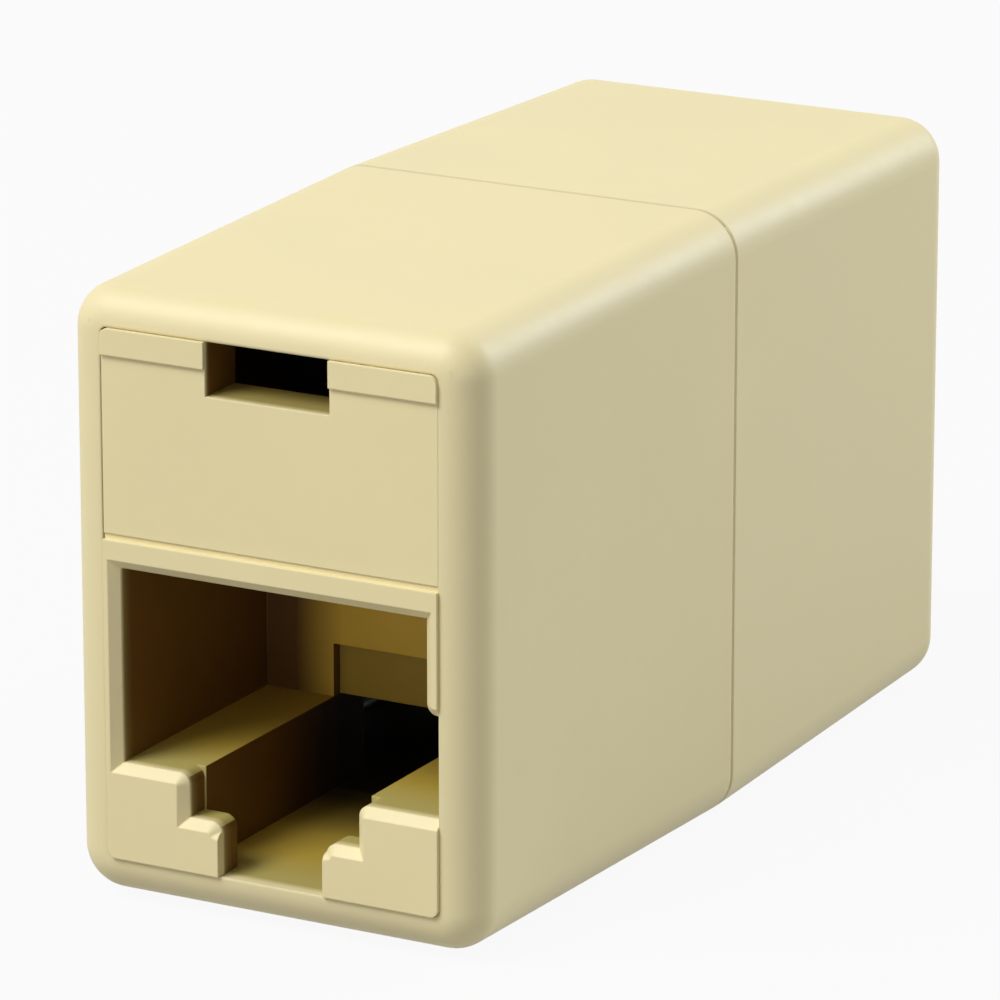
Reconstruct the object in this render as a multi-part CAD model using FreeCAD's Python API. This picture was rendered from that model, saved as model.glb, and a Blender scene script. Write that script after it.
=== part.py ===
"""In-line coupler for two 8-way modular plugs.

A drafted ivory case in two halves meets at a seam round the middle.  Each half carries one jack block whose
plug port faces outwards, and a carrier with eight gilt contacts above the port.  The contacts of both ends
are soldered into one circuit board, which joins contact to contact.

Millimetres.  +Z is up, Y runs along the coupler, and -Y is the front end.  The origin is under the middle of
the seam, on the plane that the case touches when it stands.
"""

import math
import os

import FreeCAD
import Part
from FreeCAD import Vector

# ---- case -------------------------------------------------------------------------------------------------
CASE_LENGTH = 36.45         # overall, end face to end face
END_WIDTH = 15.9            # outside width at an end
END_HEIGHT = 21.56          # outside height at an end
DRAFT = 0.3                 # how much every side stands out further at the seam than at an end
LONG_EDGE_RADIUS = 1.6      # the four edges that run the length
END_EDGE_RADIUS = 1.35      # the edge round each end face
SIDE_WALL = 1.45            # at an end
TOP_WALL = 1.3
BOTTOM_WALL = 1.42
BORE_CORNER = 0.25          # radius in the corners of the bore
SEAM_CHAMFER = 0.09         # on both halves, which leaves the fine groove of the seam
STOP_DEPTH = 8.2            # from the end face to the step in each side wall that stops the jack block
STOP_STEP = 0.35            # how much wider the bore is past it, on each side

TONGUE_LENGTH = 2.0         # the front half's tongue, which enters the rear half
TONGUE_THICKNESS = 0.6
TONGUE_CLEARANCE = 0.05
TONGUE_LEAD_IN = 0.2        # the bevel round the tongue's end
BEAD_LENGTH = 8.0           # the snap bead on each side of the tongue
BEAD_HEIGHT = 0.2
BEAD_INSET = 1.1            # from the seam to the middle of the bead

# ---- jack block -------------------------------------------------------------------------------------------
BLOCK_SIDE_GAP = 0.04       # total; the block leans on one side wall, so all of it shows on the other
BLOCK_TOP_GAP = 0.02
BLOCK_DEPTH = 12.0          # from the case's end face to the back of the block
BLOCK_PROUD = 0.12          # how far the block stands out of the case
BLOCK_EDGE_RADIUS = 0.3
LABEL_LOW = 11.4           # heights are above the floor of the bore
LABEL_HIGH = 17.88
LABEL_RECESS = 0.12
LABEL_GROOVE_HEIGHT = 0.2  # the fine groove along the foot of the label's place
LABEL_GROOVE_DEPTH = 0.05

PORT_SIDE = 0.53            # the block's wall on each side of the port
PORT_HEIGHT = 6.95          # the plug's body
PORT_DEPTH = 9.9            # from the case's end face to the port's back wall
LEDGE_HEIGHT = 3.43         # the two ledges that the plug's body slides on
MOUTH_BEVEL = 0.33          # the lead-in round the mouth
CHANNEL_WIDTH = 6.5         # the plug's latch, at its shoulders
KEYWAY_WIDTH = 4.1          # the plug's latch, at its finger lever
TOOTH_HEIGHT = 1.88         # the two teeth that the latch's shoulders catch behind
TOOTH_THICKNESS = 1.3
TOOTH_CORNER = 0.45
TOOTH_TURN = 74.0           # how far the tooth's corner turns before the sharp edge below it, in degrees
LEDGE_CORNER = 0.4
MOUTH_STEP = 0.07           # how much wider the mouth is than the channel behind it, on each side
CEILING = 0.8               # the slotted wall over the port
BACK_WALL = 1.2
STEP_HEIGHT = 1.95          # the shallow recess in the back wall, over the channel
STEP_DEPTH = 0.45
CUTOUT_HEIGHT = 3.6         # the cut-out in one side wall, level with the ledge
CUTOUT_DEPTH = 4.0
CUTOUT_FLAT = 0.13          # what its corner leaves level on the foot of the wall over the cut-out

BAY_WALL = 0.9              # the block's walls beside the bay over the ceiling
PANEL = 2.0                 # the panel in front of the bay, from the case's end face
SLOT_WIDTH = 4.8            # the slot in the panel's top edge
SLOT_DEPTH = 1.9            # down from the top of the block

SHOULDER_WIDTH = 0.3        # the shoulder on each side of the block, which seats on the case's step
SHOULDER_HEIGHT = 12.0      # and its height, in the middle of the side

# ---- contacts, carrier and board --------------------------------------------------------------------------
WAYS = 8
PITCH = 1.02
STRIP_WIDTH = 0.46          # a contact is a narrow strip, bent to shape
STRIP_THICKNESS = 0.3
STRIP_CLEARANCE = 0.04      # beside and over a strip in the carrier
SLIT_WIDTH = 0.62           # the block's slits, in which the strips spring
SLIT_FRONT = 2.1
LOOP_RADIUS = 0.55          # centreline of the turn at the port's mouth
LOOP_DEPTH = 2.9            # its centre, from the case's end face
PIN_BEND_RADIUS = 0.5
SPRING_ANGLE = 17.0         # the free spring, below the horizontal
TIP_DEPTH = 10.3            # the free end, inside the comb of the back wall
COMB_LOW = 7.33
COMB_DEPTH = 0.75
PIN_ROWS = (10.8, 9.0)      # odd and even pins, from the case's end face
PIN_ABOVE_BOARD = 0.9

CARRIER_FRONT = 3.1
CARRIER_THICKNESS = 1.7
CARRIER_CLEARANCE = 0.05

BOARD_THICKNESS = 1.0
BOARD_MARGIN = 1.0          # from the front row of pins to the board's edge
BOARD_CLEARANCE = 0.1
BOARD_HOLE = 0.7
BOARD_CORNER = 0.5
SOLDER_RADIUS = 0.55
SOLDER_HEIGHT = 0.55
SOLDER_TOP_RADIUS = 0.31    # where the solder ends on the pin

# ---- worked out -------------------------------------------------------------------------------------------
FRONT = -CASE_LENGTH / 2                        # the front end face
BORE_WIDTH = END_WIDTH - 2 * SIDE_WALL
BORE_HEIGHT = END_HEIGHT - TOP_WALL - BOTTOM_WALL
FLOOR = DRAFT + BOTTOM_WALL                     # the floor of the bore
BLOCK_WIDTH = BORE_WIDTH - BLOCK_SIDE_GAP
BLOCK_HEIGHT = BORE_HEIGHT - BLOCK_TOP_GAP
PORT_WIDTH = BLOCK_WIDTH - 2 * PORT_SIDE        # 11.9 mm takes a standard plug
BLOCK_SHIFT = BLOCK_SIDE_GAP / 2                # so that the block leans on the +X wall of the front half
PORT_TOP = LEDGE_HEIGHT + PORT_HEIGHT
BAY_FLOOR = PORT_TOP + CEILING
BAY_WIDTH = BLOCK_WIDTH - 2 * BAY_WALL
STRIP_HEIGHT = BAY_FLOOR + STRIP_THICKNESS / 2  # the middle of the strip, where it lies on the bay's floor
CARRIER_TOP = BAY_FLOOR + CARRIER_THICKNESS
BOARD_TOP = CARRIER_TOP + BOARD_THICKNESS
PAST = 1.0                                      # how far a cutting tool runs past the face that it opens
OVERLAP = 0.1                                   # how far one cut reaches into the next
NEAR = 0.001                                    # what counts as the same place


def y_at(depth):
    """The Y of a depth below the front end face."""
    return FRONT + depth


def z_at(height):
    """The Z of a height over the floor of the bore."""
    return FLOOR + height


def box(x, y, z):
    """A box from three (low, high) pairs."""
    size = [high - low for low, high in (x, y, z)]
    return Part.makeBox(*size, Vector(x[0], y[0], z[0]))


def port_box(width, depth, height, shift=0.0):
    """A box centred on the port: its width, and its (low, high) depth and height."""
    return box(
        (shift - width / 2, shift + width / 2),
        (y_at(depth[0]), y_at(depth[1])),
        (z_at(height[0]), z_at(height[1])),
    )


def rounded_wire(y, half_width, low, high, radius):
    """A closed rounded rectangle in the plane at y."""
    corners = (
        (half_width - radius, high - radius, 0),
        (-half_width + radius, high - radius, 90),
        (-half_width + radius, low + radius, 180),
        (half_width - radius, low + radius, 270),
    )

    def on(corner, turn):
        angle = math.radians(corner[2] + turn)
        return Vector(corner[0] + radius * math.cos(angle), y, corner[1] + radius * math.sin(angle))

    edges = []
    for index, corner in enumerate(corners):
        edges.append(Part.Arc(on(corner, 0), on(corner, 45), on(corner, 90)).toShape())
        after = corners[(index + 1) % len(corners)]
        edges.append(Part.LineSegment(on(corner, 90), on(after, 0)).toShape())
    return Part.Wire(edges)


def rounded_prism(y_low, y_high, half_width, low, high, radius):
    """A rounded rectangle drawn out along Y."""
    face = Part.Face(rounded_wire(y_low, half_width, low, high, radius))
    return face.extrude(Vector(0, y_high - y_low, 0))


def turned_end_for_end(shape):
    """The same piece at the rear end."""
    turned = shape.copy()
    turned.rotate(Vector(0, 0, 0), Vector(0, 0, 1), 180)
    return turned


def edges_where(shape, test):
    """The edges whose ends and middle all pass a test."""
    found = []
    for edge in shape.Edges:
        first, last = edge.ParameterRange
        if all(test(edge.valueAt(first + (last - first) * share)) for share in (0.0, 0.5, 1.0)):
            found.append(edge)
    return found


# ---- case -------------------------------------------------------------------------------------------------
def case_half_outside():
    """The front half's outside: a block that grows from the end face to the seam, with every edge rounded."""
    half = END_WIDTH / 2
    top = DRAFT + END_HEIGHT
    body = Part.makeWedge(-half, FRONT, DRAFT, 0.0, -half - DRAFT, half, 0.0, top, top + DRAFT, half + DRAFT)
    body = body.makeFillet(LONG_EDGE_RADIUS, [edge for edge in body.Edges if edge.BoundBox.YLength > PAST])
    body = body.makeFillet(END_EDGE_RADIUS, edges_where(body, lambda p: p.y < FRONT + NEAR))
    return body.makeChamfer(SEAM_CHAMFER, edges_where(body, lambda p: p.y > -NEAR))


def bore(y_low, y_high, side=0.0, grow=0.0):
    """The space inside the case: wider at the sides past the step, and wider all round for the tongue."""
    return rounded_prism(
        y_low,
        y_high,
        BORE_WIDTH / 2 + side + grow,
        FLOOR - grow,
        FLOOR + BORE_HEIGHT + grow,
        BORE_CORNER + grow,
    )


def snap_bead(grow=0.0):
    """A bead of round section on each side of the tongue, or the groove that it clicks into."""
    side = BORE_WIDTH / 2 + STOP_STEP + TONGUE_THICKNESS
    length = BEAD_LENGTH + 2 * grow
    beads = []
    for sign in (-1, 1):
        low_end = Vector(sign * side, BEAD_INSET, FLOOR + (BORE_HEIGHT - length) / 2)
        beads.append(Part.makeCylinder(BEAD_HEIGHT + grow, length, low_end, Vector(0, 0, 1)))
    return beads[0].fuse(beads[1])


def front_shell():
    """The half with the tongue."""
    shell = case_half_outside()
    tongue = bore(-PAST, TONGUE_LENGTH, STOP_STEP, TONGUE_THICKNESS)
    tongue = tongue.makeChamfer(TONGUE_LEAD_IN, edges_where(tongue, lambda p: p.y > TONGUE_LENGTH - NEAR))
    shell = shell.fuse(tongue).fuse(snap_bead())
    shell = shell.cut(bore(FRONT - PAST, y_at(STOP_DEPTH + OVERLAP)))
    return shell.cut(bore(y_at(STOP_DEPTH), TONGUE_LENGTH + PAST, STOP_STEP)).removeSplitter()


def rear_shell():
    """The half that the tongue enters."""
    shell = turned_end_for_end(case_half_outside())
    shell = shell.cut(bore(-y_at(STOP_DEPTH + OVERLAP), PAST - FRONT))
    shell = shell.cut(bore(-PAST, -y_at(STOP_DEPTH), STOP_STEP))
    room = TONGUE_THICKNESS + TONGUE_CLEARANCE
    shell = shell.cut(bore(-PAST, TONGUE_LENGTH + TONGUE_CLEARANCE, STOP_STEP, room))
    return shell.cut(snap_bead(TONGUE_CLEARANCE)).removeSplitter()


# ---- jack block -------------------------------------------------------------------------------------------
def mouth_outline():
    """The port as seen from outside: plug body, latch shoulders and finger lever in one stepped outline."""
    body, keyway = PORT_WIDTH / 2, KEYWAY_WIDTH / 2
    channel = CHANNEL_WIDTH / 2 + MOUTH_STEP
    y = y_at(-BLOCK_PROUD - PAST)

    def at(x, height):
        return Vector(x, y, z_at(height))

    def corner(x, height, radius, side, turn=90.0):
        """A rounded outward step: it comes in level from the side and turns down to x."""
        middle = x + side * radius * math.sin(math.radians(turn))

        def on(angle):
            across = side * radius * math.sin(math.radians(angle))
            return at(middle - across, height - radius + radius * math.cos(math.radians(angle)))

        return on(0.0), on(turn / 2), on(turn)

    edges = []
    start = last = at(-body, PORT_TOP)
    for point in (at(body, PORT_TOP), at(body, LEDGE_HEIGHT)):
        edges.append(Part.LineSegment(last, point).toShape())
        last = point
    steps = [
        (corner(channel, LEDGE_HEIGHT, LEDGE_CORNER, 1), at(channel, TOOTH_HEIGHT)),
        (corner(keyway, TOOTH_HEIGHT, TOOTH_CORNER, 1, TOOTH_TURN), at(keyway, -PAST)),
    ]
    for (level, middle, down), foot in steps:
        edges.append(Part.LineSegment(last, level).toShape())
        edges.append(Part.Arc(level, middle, down).toShape())
        edges.append(Part.LineSegment(down, foot).toShape())
        last = foot
    edges.append(Part.LineSegment(last, at(-keyway, -PAST)).toShape())
    last = at(-keyway, -PAST)
    mirrored = [
        (corner(-keyway, TOOTH_HEIGHT, TOOTH_CORNER, -1, TOOTH_TURN), at(-channel, TOOTH_HEIGHT)),
        (corner(-channel, LEDGE_HEIGHT, LEDGE_CORNER, -1), at(-body, LEDGE_HEIGHT)),
    ]
    for (level, middle, down), foot in mirrored:
        edges.append(Part.LineSegment(last, down).toShape())
        edges.append(Part.Arc(down, middle, level).toShape())
        edges.append(Part.LineSegment(level, foot).toShape())
        last = foot
    edges.append(Part.LineSegment(last, start).toShape())
    return Part.Wire(edges)


def way_x(way):
    """The X of a contact, counted from 1, at the front end."""
    return (way - (WAYS + 1) / 2) * PITCH


def jack_block():
    """The moulded block: plug port, latch channel, label recess, and the bay that holds the contacts."""
    face = -BLOCK_PROUD
    block = port_box(BLOCK_WIDTH, (face, BLOCK_DEPTH), (0, BLOCK_HEIGHT), BLOCK_SHIFT)

    def is_long_edge(point):
        beside = abs(abs(point.x - BLOCK_SHIFT) - BLOCK_WIDTH / 2) < NEAR
        level = min(abs(point.z - z_at(0)), abs(point.z - z_at(BLOCK_HEIGHT))) < NEAR
        return beside and level

    block = block.makeFillet(BLOCK_EDGE_RADIUS, edges_where(block, is_long_edge))
    shoulder = ((BLOCK_HEIGHT - SHOULDER_HEIGHT) / 2, (BLOCK_HEIGHT + SHOULDER_HEIGHT) / 2)
    shoulder_width = BLOCK_WIDTH + 2 * SHOULDER_WIDTH
    block = block.fuse(port_box(shoulder_width, (STOP_DEPTH, BLOCK_DEPTH), shoulder, BLOCK_SHIFT))

    tooth_back = TOOTH_THICKNESS - BLOCK_PROUD
    mouth = Part.Face(mouth_outline()).extrude(Vector(0, PAST + TOOTH_THICKNESS, 0))
    block = block.cut(mouth)
    cutout = box(
        (PORT_WIDTH / 2 - PAST, BLOCK_WIDTH / 2 + PAST),
        (y_at(face - PAST), y_at(CUTOUT_DEPTH)),
        (z_at(LEDGE_HEIGHT), z_at(LEDGE_HEIGHT + CUTOUT_HEIGHT)),
    )
    block = block.cut(cutout)
    over = (PORT_WIDTH / 2, z_at(LEDGE_HEIGHT + CUTOUT_HEIGHT))
    foot = edges_where(block, lambda p: abs(p.x - over[0]) < NEAR and abs(p.z - over[1]) < NEAR)
    block = block.makeFillet(PORT_SIDE - CUTOUT_FLAT, foot)
    block = block.makeChamfer(MOUTH_BEVEL, mouth_rim(block, face))

    block = block.cut(port_box(PORT_WIDTH, (tooth_back - OVERLAP, PORT_DEPTH), (LEDGE_HEIGHT, PORT_TOP)))
    block = block.cut(port_box(CHANNEL_WIDTH, (tooth_back, BLOCK_DEPTH + PAST), (-PAST, LEDGE_HEIGHT)))
    step = (LEDGE_HEIGHT - OVERLAP, LEDGE_HEIGHT + STEP_HEIGHT)
    block = block.cut(port_box(CHANNEL_WIDTH, (PORT_DEPTH - OVERLAP, PORT_DEPTH + STEP_DEPTH), step))
    core = (PORT_DEPTH + BACK_WALL, BLOCK_DEPTH + PAST)
    block = block.cut(port_box(PORT_WIDTH, core, (LEDGE_HEIGHT, PORT_TOP)))

    across = BLOCK_WIDTH + PAST
    label_foot = face + LABEL_RECESS
    label = port_box(across, (face - PAST, label_foot), (LABEL_LOW, LABEL_HIGH), BLOCK_SHIFT)
    groove_depth = (label_foot - PAST, label_foot + LABEL_GROOVE_DEPTH)
    groove = port_box(across, groove_depth, (LABEL_LOW, LABEL_LOW + LABEL_GROOVE_HEIGHT), BLOCK_SHIFT)
    block = block.cut(label).cut(groove)
    top = BLOCK_HEIGHT + PAST
    block = block.cut(port_box(BAY_WIDTH, (PANEL, BLOCK_DEPTH + PAST), (BAY_FLOOR, top), BLOCK_SHIFT))
    block = block.cut(port_box(SLOT_WIDTH, (face - PAST, PANEL + PAST), (BLOCK_HEIGHT - SLOT_DEPTH, top)))

    for way in range(1, WAYS + 1):
        x = way_x(way)
        slit = port_box(SLIT_WIDTH, (SLIT_FRONT, PORT_DEPTH), (PORT_TOP - PAST, BAY_FLOOR + PAST), x)
        comb = port_box(SLIT_WIDTH, (PORT_DEPTH - PAST, PORT_DEPTH + COMB_DEPTH), (COMB_LOW, PORT_TOP), x)
        block = block.cut(slit).cut(comb)
    return block.removeSplitter()


def mouth_rim(block, face):
    """The edges that the mouth's lead-in is bevelled on: all of its outline but the foot of the keyway."""
    inside = BLOCK_WIDTH / 2 - BLOCK_SHIFT - NEAR

    def on_rim(point):
        in_face = abs(point.y - y_at(face)) < NEAR
        return in_face and abs(point.x) < inside and z_at(0) + NEAR < point.z < z_at(PORT_TOP) + NEAR

    return edges_where(block, on_rim)


# ---- contacts, carrier and board --------------------------------------------------------------------------
def pin_depth(way):
    """The depth of a contact's solder pin: the pins stand in two rows."""
    return PIN_ROWS[(way + 1) % 2]


def rectangle(middle, width, depth):
    """A level rectangle round its middle."""
    corners = [(-width, -depth), (width, -depth), (width, depth), (-width, depth), (-width, -depth)]
    return Part.Face(Part.makePolygon([middle + Vector(x / 2, y / 2, 0) for x, y in corners]))


def contact(way):
    """One bent strip: solder pin, run under the carrier, turn at the mouth, and the free spring."""
    x = way_x(way)
    angle = math.radians(SPRING_ANGLE)
    pin = pin_depth(way)
    loop_height = STRIP_HEIGHT - LOOP_RADIUS

    def at(depth, height):
        return Vector(x, y_at(depth), z_at(height))

    def on_loop(turn):
        return at(LOOP_DEPTH - LOOP_RADIUS * math.sin(turn), loop_height + LOOP_RADIUS * math.cos(turn))

    bend = PIN_BEND_RADIUS * (1 - math.sqrt(0.5))
    top = at(pin, BOARD_TOP + PIN_ABOVE_BOARD)
    bend_top = at(pin, STRIP_HEIGHT + PIN_BEND_RADIUS)
    bend_middle = at(pin - bend, STRIP_HEIGHT + bend)
    bend_foot = at(pin - PIN_BEND_RADIUS, STRIP_HEIGHT)
    turn_end = math.pi - angle
    leaves = on_loop(turn_end)
    spring = (TIP_DEPTH - (LOOP_DEPTH - LOOP_RADIUS * math.sin(turn_end))) / math.cos(angle)
    tip = leaves + Vector(0, math.cos(angle), -math.sin(angle)) * spring
    path = Part.Wire([
        Part.LineSegment(top, bend_top).toShape(),
        Part.Arc(bend_top, bend_middle, bend_foot).toShape(),
        Part.LineSegment(bend_foot, on_loop(0.0)).toShape(),
        Part.Arc(on_loop(0.0), on_loop(turn_end / 2), leaves).toShape(),
        Part.LineSegment(leaves, tip).toShape(),
    ])
    return path.makePipe(rectangle(top, STRIP_WIDTH, STRIP_THICKNESS))


def contact_carrier():
    """The bar over the port: grooves underneath hold the strips, and slots let their pins up."""
    width = BAY_WIDTH - 2 * CARRIER_CLEARANCE
    carrier = port_box(width, (CARRIER_FRONT, BLOCK_DEPTH), (BAY_FLOOR, CARRIER_TOP), BLOCK_SHIFT)
    groove_width = STRIP_WIDTH + 2 * STRIP_CLEARANCE
    groove_top = BAY_FLOOR + STRIP_THICKNESS + STRIP_CLEARANCE
    for way in range(1, WAYS + 1):
        x = way_x(way)
        back = pin_depth(way) + STRIP_THICKNESS / 2 + STRIP_CLEARANCE
        groove = port_box(groove_width, (CARRIER_FRONT - PAST, back), (BAY_FLOOR - PAST, groove_top), x)
        slot_front = pin_depth(way) - PIN_BEND_RADIUS - STRIP_CLEARANCE
        slot = port_box(groove_width, (slot_front, back), (BAY_FLOOR - PAST, CARRIER_TOP + PAST), x)
        carrier = carrier.cut(groove).cut(slot)
    return carrier.removeSplitter()


def pin_places():
    """The X and Y of all the solder pins, front end first."""
    front = [(way_x(way), y_at(pin_depth(way))) for way in range(1, WAYS + 1)]
    return front + [(-x, -y) for x, y in front]


def circuit_board():
    """The board that joins both ends, with a hole for each pin."""
    reach = -y_at(min(PIN_ROWS) - BOARD_MARGIN)
    half_width = BAY_WIDTH / 2 - BLOCK_SHIFT - BOARD_CLEARANCE
    board = box((-half_width, half_width), (-reach, reach), (z_at(CARRIER_TOP), z_at(BOARD_TOP)))
    upright = edges_where(board, lambda p: abs(abs(p.x) - half_width) < NEAR and abs(abs(p.y) - reach) < NEAR)
    board = board.makeFillet(BOARD_CORNER, upright)
    for x, y in pin_places():
        foot = Vector(x, y, z_at(CARRIER_TOP) - PAST)
        board = board.cut(Part.makeCylinder(BOARD_HOLE / 2, BOARD_THICKNESS + 2 * PAST, foot))
    return board


def solder_joints():
    """The front end's eight cones of solder, each round its pin."""
    cones = []
    for x, y in pin_places()[:WAYS]:
        foot = Vector(x, y, z_at(BOARD_TOP))
        pin = rectangle(foot, STRIP_WIDTH, STRIP_THICKNESS).extrude(Vector(0, 0, SOLDER_HEIGHT))
        cones.append(Part.makeCone(SOLDER_RADIUS, SOLDER_TOP_RADIUS, SOLDER_HEIGHT, foot).cut(pin))
    return Part.makeCompound(cones)


def main():
    os.makedirs("parts", exist_ok=True)
    pieces = {
        "front_shell": front_shell(),
        "rear_shell": rear_shell(),
        "circuit_board": circuit_board(),
    }
    at_each_end = {
        "jack_block": jack_block(),
        "contact_carrier": contact_carrier(),
        "solder_joints": solder_joints(),
    }
    for way in range(1, WAYS + 1):
        at_each_end[f"contact_{way}"] = contact(way)
    for name, shape in at_each_end.items():
        pieces[f"front_{name}"] = shape
        pieces[f"rear_{name}"] = turned_end_for_end(shape)
    for name, shape in pieces.items():
        shape.exportStep(f"parts/{name}.step")
        print(name, "valid" if shape.isValid() else "NOT VALID", len(shape.Solids), round(shape.Volume, 3))


main()
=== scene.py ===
"""The finished look of an in-line coupler for two 8-way modular plugs.

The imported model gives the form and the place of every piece.  This script gives every piece its finish and
sets up a pale studio.  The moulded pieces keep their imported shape, and their sharp edges are rounded in their
material; the contacts are copies with softened edges.  Everything is in metres: +Z is up, Y runs along the
coupler, and the front port looks along -Y.
"""

import math

import bmesh
import bpy
from bpy.props import BoolProperty, FloatProperty, FloatVectorProperty, IntProperty, PointerProperty
from bpy.types import Operator, Panel, PropertyGroup
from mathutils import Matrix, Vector


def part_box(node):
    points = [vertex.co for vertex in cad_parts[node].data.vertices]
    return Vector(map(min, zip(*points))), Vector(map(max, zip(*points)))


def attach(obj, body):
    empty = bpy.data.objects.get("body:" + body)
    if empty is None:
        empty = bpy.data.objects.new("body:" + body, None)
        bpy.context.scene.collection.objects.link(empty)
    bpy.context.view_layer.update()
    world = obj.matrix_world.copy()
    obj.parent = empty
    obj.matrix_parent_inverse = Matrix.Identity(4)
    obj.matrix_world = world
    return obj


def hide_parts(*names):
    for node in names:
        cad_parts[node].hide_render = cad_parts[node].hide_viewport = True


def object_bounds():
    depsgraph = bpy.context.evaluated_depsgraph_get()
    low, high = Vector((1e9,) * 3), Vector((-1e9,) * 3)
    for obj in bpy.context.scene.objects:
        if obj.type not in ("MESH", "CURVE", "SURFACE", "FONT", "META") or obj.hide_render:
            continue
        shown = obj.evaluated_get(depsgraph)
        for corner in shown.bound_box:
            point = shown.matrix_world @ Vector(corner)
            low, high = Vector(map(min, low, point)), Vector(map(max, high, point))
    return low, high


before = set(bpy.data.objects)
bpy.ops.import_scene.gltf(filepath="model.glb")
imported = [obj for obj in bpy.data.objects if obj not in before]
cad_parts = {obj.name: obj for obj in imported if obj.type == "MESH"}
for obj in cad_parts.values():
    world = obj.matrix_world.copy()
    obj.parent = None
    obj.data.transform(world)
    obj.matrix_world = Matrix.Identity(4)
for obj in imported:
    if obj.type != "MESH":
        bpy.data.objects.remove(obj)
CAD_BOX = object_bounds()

bl_info = {
    "name": "In-line coupler",
    "version": (1, 0, 0),
    "blender": (4, 5, 0),
    "location": "View3D > Sidebar > Coupler",
    "description": "Finishes an in-line coupler in moulded plastic and gilt, on a pale stage",
    "category": "Object",
}

MM = 0.001
MICRON = 0.000001
BODY = "root"
ENDS = ("front", "rear")
WAYS = range(1, 9)      # the contacts of one port
WHITE = (1.0, 1.0, 1.0, 1.0)

# ---- where things lie on the coupler -------------------------------------------------------------
BLOCK_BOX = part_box("front_jack_block")
BLOCK_SIDE = BLOCK_BOX[1][0]            # how far to each side the jack block reaches
BLOCK_FOOT, BLOCK_TOP = BLOCK_BOX[0][2], BLOCK_BOX[1][2]
SEAM = 0.12 * MM        # how far the groove between the case halves reaches along Y, to each side
BORE_ROOM = 0.2 * MM    # how far round the jack block the case counts as its inside
SLOT_ROOM = 2.2 * MM    # how far below the jack block's top its slot counts
SLOT_LEAD = 0.2 * MM    # how much nearer the end the painted shade begins there: the slot has no bevel
LEDGE_ROOM = 3.4 * MM   # how far above the jack block's foot the latch channel counts
END_FACE = CAD_BOX[1][1] - 0.12 * MM    # how far along Y the case's end face lies
MOUTH = END_FACE - 0.25 * MM            # and where the bevel round the port's mouth ends

# ---- how the random tone and the painted shade and light on the moulded plastic set in, as (place, strength) stops ---
MIDDLE_SPREAD = ((0.35, 0.0), (0.65, 1.0))      # the middle of a noise, over its whole range
MOUTH_SETS_IN = ((0.0, 0.0), (0.12, 1.0))       # painted shade near the mouth, by share of the inner painted shade's depth
INNER_SETS_IN = ((0.3, 0.0), (1.0, 1.0))
DEEP_SETS_IN = ((0.0, 0.0), (0.2, 0.7), (1.0, 1.0))     # painted shade on the side walls, by share of their depth
LOW_SETS_IN = ((0.5, 0.0), (0.85, 0.9))         # painted shade low in the latch channel, then in the middle, by share of the way to the coupler's middle
DARK_SETS_IN = ((0.93, 0.0), (1.0, 1.0))
SHADED_END = ((0.42, 0.0), (0.7, 1.0))          # painted light and painted shade across a back wall, by share of half the jack block's width
SEAM_SHADE_FADES = ((0.3, 1.0), (1.0, 0.0))            # painted shade in the seam's groove, by share of the way out of it
FACING = 0.8            # how squarely a wall has to face one way to count as a side wall, for painted shade, and as a back wall, for painted light
FACING_UP = 0.5         # and how squarely a face has to look up to take the painted shade in the seam

# ---- how the contacts' edges are softened --------------------------------------------------------
SHARP = 35              # degrees from which an edge is rounded
FLAT = 0.05             # degrees below which two faces are taken as one
WELD = 0.0005 * MM      # how close two corners have to lie to be one
LARGE_FACES_RULE = 100  # how much the large faces set the shading, of 100

# ---- where the stage's things stand --------------------------------------------------------------
MIDDLE = (Vector(CAD_BOX[0]) + Vector(CAD_BOX[1])) / 2
LAMP_DISTANCE = 0.6                     # from the coupler's middle
FLOOR_HEIGHT = CAD_BOX[0][2] - 0.02 * MM        # just under the coupler
CAMERA_PLACE = Vector((112.40, -207.87, 80.81)) * MM
CAMERA_LOOKS = Vector((-0.45952, 0.84132, -0.28464))


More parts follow.
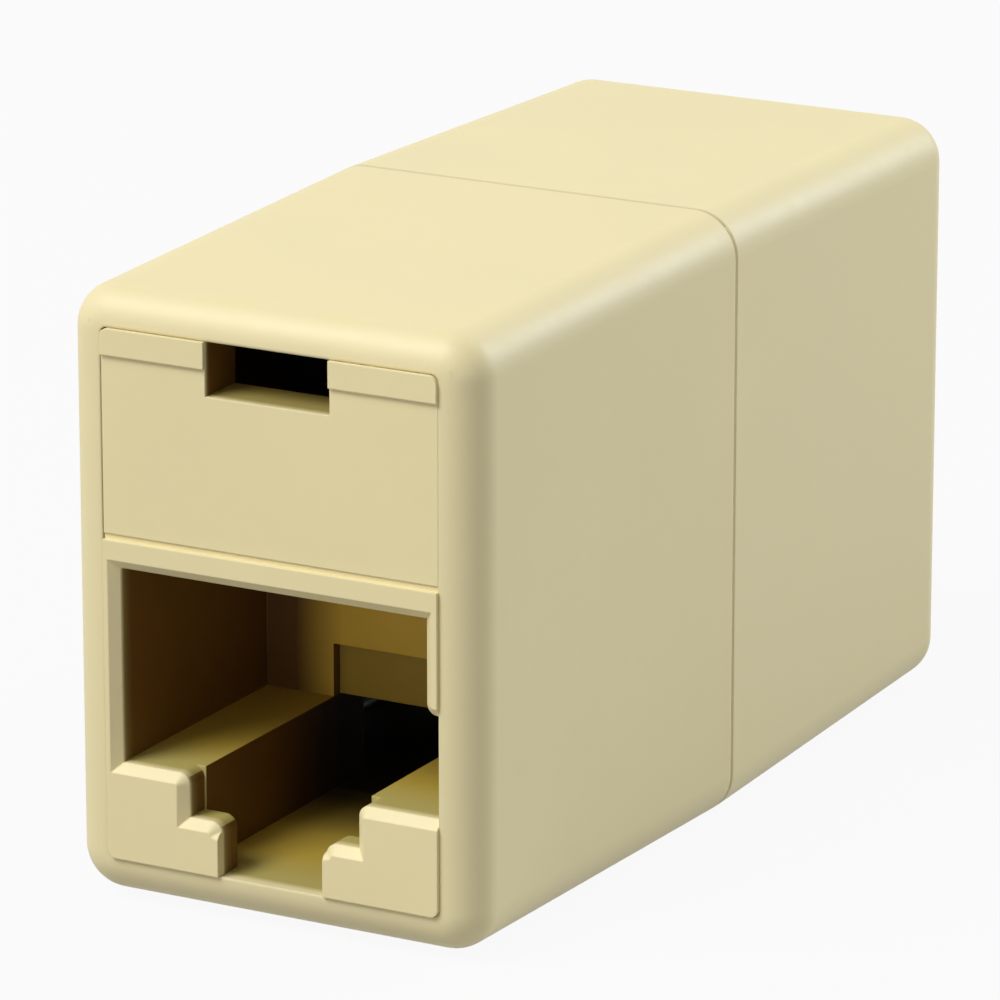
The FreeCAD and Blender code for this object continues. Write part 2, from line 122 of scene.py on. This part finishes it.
# ---- values that a user would change -------------------------------------------------------------
class CouplerPlastic(PropertyGroup):
    """Moulded plastic of the case, the jack blocks and the carriers."""

    case_colour: FloatVectorProperty(
        name="Case",
        description="Colour of the two case halves",
        subtype="COLOR",
        default=(0.823, 0.718, 0.41),
        min=0.0,
        max=1.0,
    )
    block_colour: FloatVectorProperty(
        name="Jack blocks",
        description="Colour of the two jack blocks",
        subtype="COLOR",
        default=(0.85, 0.74, 0.415),
        min=0.0,
        max=1.0,
    )
    # painted shade on the ledges and the floor just inside the ports
    mouth_painted_shade: FloatVectorProperty(
        name="Just inside the ports",
        description="Tone of the ledges and the floor near the mouth",
        subtype="COLOR",
        default=(0.47, 0.40, 0.12),
        min=0.0,
        max=1.0,
    )
    # painted shade on the ledges and the floor further inside the ports
    inner_painted_shade: FloatVectorProperty(
        name="Inside of the ports",
        description="Tone of the ledges and the floor inside the ports",
        subtype="COLOR",
        default=(0.49, 0.35, 0.05),
        min=0.0,
        max=1.0,
    )
    # painted shade on the ports' side walls, in the slots and on the back walls' shaded end
    wall_painted_shade: FloatVectorProperty(
        name="Side walls of the ports",
        description="Tone of the side walls inside the ports, and of the back walls' shaded end",
        subtype="COLOR",
        default=(0.14, 0.06, 0.006),
        min=0.0,
        max=1.0,
    )
    # painted light on the back walls' lit end
    back_wall_painted_light: FloatVectorProperty(
        name="Back walls of the ports",
        description="Tone of the back walls' lit end inside the ports",
        subtype="COLOR",
        default=(1.0, 0.68, 0.09),
        min=0.0,
        max=1.0,
    )
    back_depth: FloatProperty(
        name="Depth of the back walls",
        description="How far inside the mouth the walls count as back walls",
        unit="LENGTH",
        default=0.004,
        min=0.0001,
        precision=4,
    )
    # painted shade in the slots over the label panels, a share of the side walls' painted shade
    slot_shade: FloatProperty(
        name="Shade in the slots",
        description="How much of the side walls' tone the slots over the label panels take on",
        subtype="FACTOR",
        default=0.3,
        min=0.0,
        max=1.0,
    )
    # painted shade, nearly black, in the middle of the coupler behind the ports
    middle_painted_shade: FloatVectorProperty(
        name="Behind the ports",
        description="Tone of the plastic in the middle of the coupler, where hardly any light reaches",
        subtype="COLOR",
        default=(0.02, 0.012, 0.004),
        min=0.0,
        max=1.0,
    )
    inner_depth: FloatProperty(
        name="Depth of the inner tone",
        description="How far inside the mouth the tone of the ledges and the floor is reached",
        unit="LENGTH",
        default=0.003,
        min=0.0001,
        precision=4,
    )
    dark_depth: FloatProperty(
        name="Depth of the dark",
        description="How far inside the mouth the middle of the coupler begins",
        unit="LENGTH",
        default=0.0105,
        min=0.0001,
        precision=4,
    )
    deep_depth: FloatProperty(
        name="Depth of the side walls' tone",
        description="How far inside the mouth the tone of the side walls is reached",
        unit="LENGTH",
        default=0.0006,
        min=0.0001,
        precision=5,
    )
    carrier_colour: FloatVectorProperty(
        name="Carriers",
        description="Colour of the two contact carriers",
        subtype="COLOR",
        default=(0.018, 0.018, 0.02),
        min=0.0,
        max=1.0,
    )
    roughness: FloatProperty(
        name="Roughness",
        description="How matt the ivory plastic is",
        subtype="FACTOR",
        default=0.5,
        min=0.0,
        max=1.0,
    )
    # painted shade in the seam's groove on top of the case
    seam_painted_shade: FloatProperty(
        name="Dust",
        description="How much dust the seam's groove holds on top of the case",
        subtype="FACTOR",
        default=0.45,
        min=0.0,
        max=1.0,
    )
    grain: FloatProperty(
        name="Grain",
        description="Size of the fine grain that the mould leaves",
        unit="LENGTH",
        default=0.00022,
        min=0.00001,
        precision=5,
    )
    grain_depth: FloatProperty(
        name="Grain depth",
        description="Height of the fine grain",
        unit="LENGTH",
        default=0.000002,
        min=0.0,
        precision=6,
    )
    flow: FloatProperty(
        name="Flow",
        description="Size of the soft unevenness that the plastic's flow leaves",
        unit="LENGTH",
        default=0.006,
        min=0.0001,
        precision=4,
    )
    flow_depth: FloatProperty(
        name="Flow depth",
        description="Height of the soft unevenness",
        unit="LENGTH",
        default=0.000006,
        min=0.0,
        precision=6,
    )
    case_edge: FloatProperty(
        name="Case edges",
        description="Width of the rounding on the case's sharp edges",
        unit="LENGTH",
        default=0.00014,
        min=0.0,
        precision=5,
    )
    block_edge: FloatProperty(
        name="Block edges",
        description="Width of the rounding on the jack blocks' sharp edges",
        unit="LENGTH",
        default=0.00007,
        min=0.0,
        precision=5,
    )
    edge_samples: IntProperty(
        name="Edge samples",
        description="How finely a rounded edge is shaded",
        default=6,
        min=2,
        max=16,
    )


class CouplerMetal(PropertyGroup):
    """Gilt contacts, solder and the board that joins them."""

    gilt_colour: FloatVectorProperty(
        name="Gilt",
        description="Colour of the contacts",
        subtype="COLOR",
        default=(0.87, 0.62, 0.24),
        min=0.0,
        max=1.0,
    )
    solder_colour: FloatVectorProperty(
        name="Solder",
        description="Colour of the solder joints",
        subtype="COLOR",
        default=(0.60, 0.61, 0.62),
        min=0.0,
        max=1.0,
    )
    board_colour: FloatVectorProperty(
        name="Board",
        description="Colour of the board between its tracks",
        subtype="COLOR",
        default=(0.01, 0.09, 0.03),
        min=0.0,
        max=1.0,
    )
    track_pitch: FloatProperty(
        name="Track pitch",
        description="Distance from one track of the board to the next",
        unit="LENGTH",
        default=0.00102,
        min=0.0001,
        precision=5,
    )
    strip_edge: FloatProperty(
        name="Strip edges",
        description="Width of the rounding on a contact's edges",
        unit="LENGTH",
        default=0.00004,
        min=0.0,
        precision=5,
    )
    strip_steps: IntProperty(
        name="Strip steps",
        description="How many faces the rounding on a contact's edges has",
        default=2,
        min=1,
        max=8,
    )


class CouplerStage(PropertyGroup):
    """Floor, lamps and camera."""

    front: FloatProperty(
        name="Front",
        description="Power of the lamp at the front left",
        subtype="POWER",
        default=2.96,
        min=0.0,
    )
    back: FloatProperty(
        name="Back",
        description="Power of the lamp at the back right",
        subtype="POWER",
        default=1.80,
        min=0.0,
    )
    back_tint: FloatVectorProperty(
        name="Back tint",
        description="Colour of the lamp at the back right",
        subtype="COLOR",
        default=(0.89, 0.95, 1.0),
        min=0.0,
        max=1.0,
    )
    side: FloatProperty(
        name="Side",
        description="Power of the low lamp at the right",
        subtype="POWER",
        default=0.26,
        min=0.0,
    )
    surroundings: FloatProperty(
        name="Surroundings",
        description="Brightness of the pale room around the stage",
        default=0.31,
        min=0.0,
    )
    lens: FloatProperty(
        name="Lens",
        description="Focal length of the camera",
        subtype="DISTANCE_CAMERA",
        default=248.18,
        min=1.0,
    )
    sweep: BoolProperty(
        name="Sweep",
        description="Curve the floor up into a backdrop",
        default=True,
    )


# ---- shader maths --------------------------------------------------------------------------------
MIX_FACTOR, MIX_FIRST, MIX_SECOND, MIX_RESULT = 0, 6, 7, 2     # the Mix node's sockets for colours


class Signal:
    """An output on its way through a material.  Arithmetic on numbers adds Math nodes."""

    def __init__(self, finish, socket):
        self.finish = finish
        self.socket = socket

    def math(self, operation, first, second):
        """One Math node."""
        return self.finish.add("ShaderNodeMath", {"operation": operation}, {0: first, 1: second})

    def __add__(self, other):
        return self.math("ADD", self, other)

    def __sub__(self, other):
        return self.math("SUBTRACT", self, other)

    def __rsub__(self, other):
        return self.math("SUBTRACT", other, self)

    def __mul__(self, other):
        return self.math("MULTIPLY", self, other)

    def __truediv__(self, other):
        return self.math("DIVIDE", self, other)

    def __rtruediv__(self, other):
        return self.math("DIVIDE", other, self)

    def __abs__(self):
        return self.math("ABSOLUTE", self, 0.0)

    def __gt__(self, other):
        return self.math("GREATER_THAN", self, other)

    def __lt__(self, other):
        return self.math("LESS_THAN", self, other)

    __radd__ = __add__
    __rmul__ = __mul__

    def from_to(self, low, high):
        """This number, which runs from 0 to 1, made to run from low to high."""
        return low + self * (high - low)


class Finish:
    """A material, or the world around the stage, in the making."""

    def __init__(self, name, makers=bpy.data.materials):
        self.material = makers.new(name)
        self.material.use_nodes = True
        self.tree = self.material.node_tree
        self.tree.nodes.clear()

    def add(self, kind, settings=None, inputs=None, output=0):
        """Adds a node: its settings first, then its sockets' values or links.  Returns one output."""
        node = self.tree.nodes.new(kind)
        for key, value in (settings or {}).items():
            if key == "stops":
                self.set_stops(node.color_ramp, value)
            else:
                setattr(node, key, value)
        for key, value in (inputs or {}).items():
            if isinstance(value, Signal):
                self.tree.links.new(value.socket, node.inputs[key])
            else:
                node.inputs[key].default_value = value
        return Signal(self, node.outputs[output]) if node.outputs else None

    @staticmethod
    def set_stops(ramp, stops):
        """Gives a colour ramp its stops, as (place, grey) pairs."""
        while len(ramp.elements) < len(stops):
            ramp.elements.new(1.0)
        for element, (place, grey) in zip(ramp.elements, stops):
            element.position = place
            element.color = (grey, grey, grey, 1.0)

    def place(self):
        """The point on the piece, in the row's frame."""
        return self.add("ShaderNodeTexCoord", output="Object")

    def part_of(self, vector, axis):
        """The X, Y or Z of a vector."""
        return self.add("ShaderNodeSeparateXYZ", None, {0: vector}, axis)

    def noise(self, size, detail=2.0, vector=None, rough=0.5):
        """Soft noise from 0 to 1 with features of that size."""
        return self.add(
            "ShaderNodeTexNoise",
            {"noise_dimensions": "3D"},
            {"Vector": vector or self.place(), "Scale": 1.0 / size, "Detail": detail, "Roughness": rough},
        )

    def ramp(self, value, *stops):
        """A number read off a ramp."""
        return self.add("ShaderNodeValToRGB", {"stops": stops}, {"Fac": value})

    def blend(self, factor, first, second):
        """A colour between two."""
        inputs = {MIX_FACTOR: factor, MIX_FIRST: opaque(first), MIX_SECOND: opaque(second)}
        return self.add("ShaderNodeMix", {"data_type": "RGBA"}, inputs, MIX_RESULT)

    def bump(self, *layers, over=None):
        """Surface relief from (height 0 to 1, real depth) pairs, each on top of the one before."""
        normal = over
        for height, depth in layers:
            inputs = {"Height": height, "Distance": depth, "Strength": 1.0}
            if normal:
                inputs["Normal"] = normal
            normal = self.add("ShaderNodeBump", None, inputs)
        return normal

    def surface(self, **inputs):
        """Closes the material with one Principled shader and returns it."""
        sockets = {name.replace("_", " "): value for name, value in inputs.items()}
        shader = self.add("ShaderNodeBsdfPrincipled", None, sockets)
        self.add("ShaderNodeOutputMaterial", None, {"Surface": shader})
        return self.material


def opaque(colour):
    """A colour as a socket takes it.  One that comes out of a node stays as it is."""
    return colour if isinstance(colour, Signal) else (*colour[:3], 1.0)


def shade(colour, factor):
    """A colour made darker or lighter."""
    return tuple(min(1.0, channel * factor) for channel in colour[:3])


# ---- finishes ------------------------------------------------------------------------------------
def ivory_plastic(name, colour, plastic, edge, inside):
    """Moulded ivory plastic: fine grain, soft unevenness from its flow, satin gloss and rounded edges."""
    darkest, palest = shade(colour, 0.975), shade(colour, 1.02)
    flow_gloss, speck_gloss = 0.10, 0.12    # how far each moves the roughness
    speck_size = plastic.grain * 3
    finish = Finish(name)
    flow = finish.noise(plastic.flow, detail=3.0)
    speck = finish.noise(speck_size, detail=4.0, rough=0.6)
    cloud = finish.ramp(flow, *MIDDLE_SPREAD)
    tint = finish.blend(cloud * 0.5 + speck * 0.5, darkest, palest)
    # painted shade and light inside the ports, and in the case's seam, go over the plastic's colour here
    tint = inside(finish, plastic, tint)
    grain = finish.noise(plastic.grain)
    roughness = plastic.roughness + (flow - 0.5) * flow_gloss + (speck - 0.5) * speck_gloss
    rounded = finish.add("ShaderNodeBevel", {"samples": plastic.edge_samples}, {"Radius": edge})
    relief = finish.bump((flow, plastic.flow_depth), (grain, plastic.grain_depth), over=rounded)
    return finish.surface(Base_Color=tint, Roughness=roughness, Normal=relief, IOR=1.53)


def painted_port_shade_and_light(finish, plastic, tint, within=1.0):
    """Painted shade inside the ports, deepening inwards and on the side walls, and painted light on the back
    walls' lit end.
    """
    across, along, height = (finish.part_of(finish.place(), axis) for axis in ("X", "Y", "Z"))
    facing = finish.add("ShaderNodeTexCoord", output="Normal")
    sideways = abs(finish.part_of(facing, "X")) > FACING
    endways = abs(finish.part_of(facing, "Y")) > FACING
    at_slot = height > BLOCK_TOP - SLOT_ROOM
    at_channel = height < BLOCK_FOOT + LEDGE_ROOM
    to_the_side = across * along / abs(along) / BLOCK_SIDE      # the rear port is turned end for end
    depth = MOUTH - abs(along) + at_slot * SLOT_LEAD
    inwards = depth / plastic.inner_depth
    to_the_middle = depth / plastic.dark_depth

    # shares of painted shade at the mouth, further in, on side walls, in slots, low down and in the middle; of
    # painted light on back walls
    mouth = finish.ramp(inwards, *MOUTH_SETS_IN)
    inner = finish.ramp(inwards, *INNER_SETS_IN)
    deep = finish.ramp(depth / plastic.deep_depth, *DEEP_SETS_IN) * sideways
    back = endways * (depth > plastic.back_depth)
    shaded = finish.ramp(to_the_side, *SHADED_END)
    # painted shade in the slots
    slot = at_slot * mouth * plastic.slot_shade
    low = finish.ramp(to_the_middle, *LOW_SETS_IN) * at_channel
    dark = finish.ramp(to_the_middle, *DARK_SETS_IN)
    # painted shade and painted light, each laid over the plastic's colour by its share
    painted_layers = (
        (mouth, plastic.mouth_painted_shade),
        (inner, plastic.inner_painted_shade),
        (back, plastic.back_wall_painted_light),
        (deep + back * shaded + slot, plastic.wall_painted_shade),
        (low + dark, plastic.middle_painted_shade),
    )
    for share, colour in painted_layers:
        tint = finish.blend(share * within, tint, colour)
    return tint


def painted_case_shade_and_light(finish, plastic, tint):
    """The same painted shade and light, on the case's inner faces alone, and painted shade in the seam's groove
    on top.
    """
    across, along, height = (finish.part_of(finish.place(), axis) for axis in ("X", "Y", "Z"))
    in_width = abs(across) < BLOCK_SIDE + BORE_ROOM
    in_height = (height > BLOCK_FOOT - BORE_ROOM) * (height < BLOCK_TOP + BORE_ROOM)
    on_top = finish.part_of(finish.add("ShaderNodeTexCoord", output="Normal"), "Z") > FACING_UP
    # painted shade where shade falls in the groove between the case halves, on top
    seam_painted_shade = finish.ramp(abs(along) / SEAM, *SEAM_SHADE_FADES) * on_top
    seam_shade_colour = shade(plastic.case_colour, 0.2)
    tint = finish.blend(seam_painted_shade * plastic.seam_painted_shade, tint, seam_shade_colour)
    return painted_port_shade_and_light(finish, plastic, tint, in_width * in_height)


def carrier_plastic(plastic):
    """Black glass-filled plastic: short pale fibres in a matt ground."""
    fibre_size, fibre_height, fibre_starts = 80 * MICRON, 4 * MICRON, 0.66
    pale = shade(plastic.carrier_colour, 3.0)
    finish = Finish("carrier_plastic")
    fibre = finish.noise(fibre_size, detail=5.0, rough=0.7)
    tint = finish.blend(fibre > fibre_starts, plastic.carrier_colour, pale)
    relief = finish.bump((fibre, fibre_height))
    return finish.surface(Base_Color=tint, Roughness=fibre.from_to(0.5, 0.7), Normal=relief)


def gilt(metal):
    """Gold over nickel on a rolled strip, with the rolling's fine lines along it."""
    line_width, line_depth, patch_size = 40 * MICRON, 1 * MICRON, 1.2 * MM
    lengthwise = (1.0, 0.08, 1.0)
    worn = shade(metal.gilt_colour, 0.9)
    finish = Finish("gilt_contact")
    stretched = finish.add(
        "ShaderNodeMapping",
        {"vector_type": "POINT"},
        {"Vector": finish.place(), "Scale": lengthwise},
    )
    lines = finish.noise(line_width, detail=3.0, vector=stretched)
    tint = finish.blend(finish.noise(patch_size), metal.gilt_colour, worn)
    relief = finish.bump((lines, line_depth))
    return finish.surface(Base_Color=tint, Metallic=1.0, Roughness=lines.from_to(0.18, 0.34), Normal=relief)


def solder(metal):
    """Lead-free solder: slightly dull, with a frosty crystal pattern."""
    crystals_per_metre, crystal_height = 9000.0, 4 * MICRON
    dull = shade(metal.solder_colour, 0.7)
    finish = Finish("solder")
    crystal = finish.add(
        "ShaderNodeTexVoronoi",
        {"feature": "F1"},
        {"Vector": finish.place(), "Scale": crystals_per_metre},
        "Distance",
    )
    tint = finish.blend(crystal, metal.solder_colour, dull)
    relief = finish.bump((crystal, crystal_height))
    return finish.surface(Base_Color=tint, Metallic=1.0, Roughness=crystal.from_to(0.3, 0.5), Normal=relief)


def board_laminate(metal):
    """Green lacquer over copper tracks that run the length of the board."""
    track_edge = ((0.16, 1.0), (0.2, 0.0))      # from a track's middle outwards, by share of the pitch
    track_height, weave_size, weave_height = 30 * MICRON, 0.3 * MM, 4 * MICRON
    over_glass, over_copper = shade(metal.board_colour, 1.3), shade(metal.board_colour, 2.4)
    finish = Finish("board_laminate")
    pitches = finish.part_of(finish.place(), "X") / metal.track_pitch
    off_track = finish.add("ShaderNodeMath", {"operation": "PINGPONG"}, {0: pitches, 1: 0.5})
    track = finish.ramp(off_track, *track_edge)
    weave = finish.noise(weave_size)
    ground = finish.blend(weave, metal.board_colour, over_glass)
    tint = finish.blend(track, ground, over_copper)
    relief = finish.bump((track, track_height), (weave, weave_height))
    return finish.surface(Base_Color=tint, Roughness=weave.from_to(0.3, 0.4), Normal=relief)


def backdrop_paper():
    """Pale paper that a camera sees as white, but for the object's soft shadow."""
    fibre_size, darkest, palest = 0.8 * MM, (0.40, 0.40, 0.40), (0.44, 0.44, 0.44)
    whiteness = 0.93        # the rest takes the shadow
    finish = Finish("backdrop_paper")
    tint = finish.blend(finish.noise(fibre_size, detail=3.0), darkest, palest)
    paper = finish.add("ShaderNodeBsdfDiffuse", None, {"Color": tint})
    white = finish.add("ShaderNodeEmission", None, {"Color": WHITE, "Strength": 1.0})
    share = seen_directly(finish) * whiteness
    mixed = finish.add("ShaderNodeMixShader", None, {0: share, 1: paper, 2: white})
    finish.add("ShaderNodeOutputMaterial", None, {"Surface": mixed})
    return finish.material


def seen_directly(finish):
    """1 where a camera looks straight at the surface, or at its mirror image in metal or glass."""
    camera, mirror, glass = (
        finish.add("ShaderNodeLightPath", output=name)
        for name in ("Is Camera Ray", "Is Glossy Ray", "Is Transmission Ray")
    )
    total = camera + mirror + glass
    return total.math("MINIMUM", total, 1.0)


# ---- shapes --------------------------------------------------------------------------------------
def softened(node, edge, steps):
    """A copy of a CAD piece whose sharp edges are rounded, as a press leaves them."""
    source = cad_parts[node].data
    mesh = bpy.data.meshes.new(f"{node}_finished")
    mesh.from_pydata(
        [vertex.co for vertex in source.vertices], [], [tuple(face.vertices) for face in source.polygons]
    )
    shape = bmesh.new()
    shape.from_mesh(mesh)
    bmesh.ops.remove_doubles(shape, verts=shape.verts, dist=WELD)
    bmesh.ops.dissolve_limit(shape, angle_limit=math.radians(FLAT), verts=shape.verts, edges=shape.edges)
    share = shape.edges.layers.float.new("bevel_weight_edge")
    for line in shape.edges:
        if len(line.link_faces) == 2 and line.calc_face_angle(0.0) > math.radians(SHARP):
            line[share] = 1.0
    shape.to_mesh(mesh)
    shape.free()
    piece = bpy.data.objects.new(f"{node}_finished", mesh)
    bpy.context.scene.collection.objects.link(piece)
    mesh.shade_smooth()
    rounding = piece.modifiers.new("rounding", "BEVEL")
    rounding.limit_method = "WEIGHT"
    rounding.offset_type = "OFFSET"
    rounding.width = edge
    rounding.segments = steps
    rounding.miter_outer = "MITER_ARC"
    weights = piece.modifiers.new("even_faces", "WEIGHTED_NORMAL")
    weights.mode = "FACE_AREA"
    weights.weight = LARGE_FACES_RULE
    weights.keep_sharp = True
    return piece


def finish_piece(node, edge, steps, material):
    """Puts a softened copy in a CAD piece's place."""
    piece = softened(node, edge, steps)
    piece.data.materials.append(material)
    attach(piece, BODY)
    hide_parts(node)


def dress_node(node, material):
    """Gives a CAD piece a better material in its own slot."""
    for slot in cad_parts[node].material_slots:
        slot.material = material


# ---- stage ---------------------------------------------------------------------------------------
def area_lamp(name, power, size, direction, colour=WHITE[:3]):
    """A square soft lamp that looks at the coupler from a direction."""
    data = bpy.data.lights.new(name, "AREA")
    data.shape = "SQUARE"
    data.size = size
    data.energy = power
    data.color = colour
    lamp = bpy.data.objects.new(name, data)
    bpy.context.scene.collection.objects.link(lamp)
    way = Vector(direction).normalized()
    lamp.location = MIDDLE + way * LAMP_DISTANCE
    lamp.rotation_euler = (-way).to_track_quat("-Z", "Y").to_euler()


def make_floor(sweep):
    """A pale sheet under the coupler that curves up into a backdrop behind it."""
    reach, rise, radius, steps = 1.2, 1.6, 0.6, 16
    profile = [(-reach, 0.0), (reach, 0.0)]
    if sweep:
        for step in range(1, steps + 1):
            turn = math.pi / 2 * step / steps
            profile.append((reach + radius * math.sin(turn), radius * (1 - math.cos(turn))))
        profile.append((reach + radius, rise))
    mesh = bpy.data.meshes.new("floor")
    points = [(x, y, z) for y, z in profile for x in (-2 * reach, 2 * reach)]
    faces = [(i, i + 1, i + 3, i + 2) for i in range(0, len(points) - 2, 2)]
    mesh.from_pydata(points, [], faces)
    mesh.shade_smooth()
    mesh.materials.append(backdrop_paper())
    floor = bpy.data.objects.new("floor", mesh)
    bpy.context.scene.collection.objects.link(floor)
    floor.location.z = FLOOR_HEIGHT


def make_surroundings(brightness):
    """A pale room: white where the camera sees it, and dimmer as a source of light."""
    room = Finish("pale_room", bpy.data.worlds)
    bpy.context.scene.world = room.material
    dim = room.add("ShaderNodeBackground", None, {"Color": WHITE, "Strength": brightness})
    white = room.add("ShaderNodeBackground", None, {"Color": WHITE, "Strength": 1.0})
    mixed = room.add("ShaderNodeMixShader", None, {0: seen_directly(room), 1: dim, 2: white})
    room.add("ShaderNodeOutputWorld", None, {"Surface": mixed})


def make_camera(lens):
    """A long lens above and to the right of the front port."""
    data = bpy.data.cameras.new("camera")
    data.lens = lens
    data.sensor_width = 36.0
    data.clip_end = 20.0
    camera = bpy.data.objects.new("camera", data)
    bpy.context.scene.collection.objects.link(camera)
    camera.location = CAMERA_PLACE
    camera.rotation_euler = CAMERA_LOOKS.to_track_quat("-Z", "Y").to_euler()
    bpy.context.scene.camera = camera


# ---- operators -----------------------------------------------------------------------------------
class COUPLER_OT_case(Operator):
    """Finish both case halves"""

    bl_idname = "coupler.case"
    bl_label = "Case halves"

    def execute(self, context):
        plastic = context.scene.coupler_plastic
        colour, edge = plastic.case_colour, plastic.case_edge
        # the case's inner faces get painted shade and light, and its seam on top painted shade
        material = ivory_plastic("case_plastic", colour, plastic, edge, painted_case_shade_and_light)
        for end in ENDS:
            dress_node(f"{end}_shell", material)
        return {"FINISHED"}


class COUPLER_OT_jack_blocks(Operator):
    """Finish both jack blocks"""

    bl_idname = "coupler.jack_blocks"
    bl_label = "Jack blocks"

    def execute(self, context):
        plastic = context.scene.coupler_plastic
        colour, edge = plastic.block_colour, plastic.block_edge
        # the ports inside the jack blocks get painted shade and painted light
        material = ivory_plastic("block_plastic", colour, plastic, edge, painted_port_shade_and_light)
        for end in ENDS:
            dress_node(f"{end}_jack_block", material)
        return {"FINISHED"}


class COUPLER_OT_carriers(Operator):
    """Finish both contact carriers"""

    bl_idname = "coupler.carriers"
    bl_label = "Contact carriers"

    def execute(self, context):
        material = carrier_plastic(context.scene.coupler_plastic)
        for end in ENDS:
            dress_node(f"{end}_contact_carrier", material)
        return {"FINISHED"}


class COUPLER_OT_contacts(Operator):
    """Finish the sixteen contacts"""

    bl_idname = "coupler.contacts"
    bl_label = "Contacts"

    def execute(self, context):
        metal = context.scene.coupler_metal
        material = gilt(metal)
        for end in ENDS:
            for way in WAYS:
                node = f"{end}_contact_{way}"
                finish_piece(node, metal.strip_edge, metal.strip_steps, material)
        return {"FINISHED"}


class COUPLER_OT_board(Operator):
    """Finish the circuit board and its solder joints"""

    bl_idname = "coupler.board"
    bl_label = "Board and solder"

    def execute(self, context):
        metal = context.scene.coupler_metal
        dress_node("circuit_board", board_laminate(metal))
        material = solder(metal)
        for end in ENDS:
            dress_node(f"{end}_solder_joints", material)
        return {"FINISHED"}


class COUPLER_OT_stage(Operator):
    """Set up the floor, the lamps and the camera"""

    bl_idname = "coupler.stage"
    bl_label = "Stage"

    def execute(self, context):
        stage = context.scene.coupler_stage
        make_floor(stage.sweep)
        area_lamp("front_lamp", stage.front, size=0.3, direction=(-0.42, -0.65, 0.91))
        area_lamp("back_lamp", stage.back, size=0.25, direction=(0.62, 1.0, 0.46), colour=stage.back_tint)
        area_lamp("side_lamp", stage.side, size=0.25, direction=(1.0, 0.5, 0.2))
        make_surroundings(stage.surroundings)
        make_camera(stage.lens)
        context.scene.view_settings.view_transform = "Standard"
        return {"FINISHED"}


class COUPLER_PT_panel(Panel):
    """The coupler's sizes, colours and steps"""

    bl_idname = "COUPLER_PT_panel"
    bl_label = "In-line coupler"
    bl_space_type = "VIEW_3D"
    bl_region_type = "UI"
    bl_category = "Coupler"

    def draw(self, context):
        layout = self.layout
        for group, name in GROUPS.items():
            values = getattr(context.scene, name)
            box = layout.box()
            for value in group.__annotations__:
                box.prop(values, value)
        for operator in OPERATORS:
            layout.operator(operator.bl_idname)


GROUPS = {
    CouplerPlastic: "coupler_plastic",
    CouplerMetal: "coupler_metal",
    CouplerStage: "coupler_stage",
}
OPERATORS = (
    COUPLER_OT_case,
    COUPLER_OT_jack_blocks,
    COUPLER_OT_carriers,
    COUPLER_OT_contacts,
    COUPLER_OT_board,
    COUPLER_OT_stage,
)
CLASSES = (*GROUPS, *OPERATORS, COUPLER_PT_panel)


def register():
    """Makes the classes and the scene's values known."""
    for entry in CLASSES:
        bpy.utils.register_class(entry)
    for group, name in GROUPS.items():
        setattr(bpy.types.Scene, name, PointerProperty(type=group))


def unregister():
    """Takes them away again."""
    for name in GROUPS.values():
        delattr(bpy.types.Scene, name)
    for entry in reversed(CLASSES):
        bpy.utils.unregister_class(entry)


def main():
    """Finishes every piece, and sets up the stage."""
    register()
    for operator in OPERATORS:
        group, name = operator.bl_idname.split(".")
        getattr(getattr(bpy.ops, group), name)()


if __name__ == "__main__":
    main()
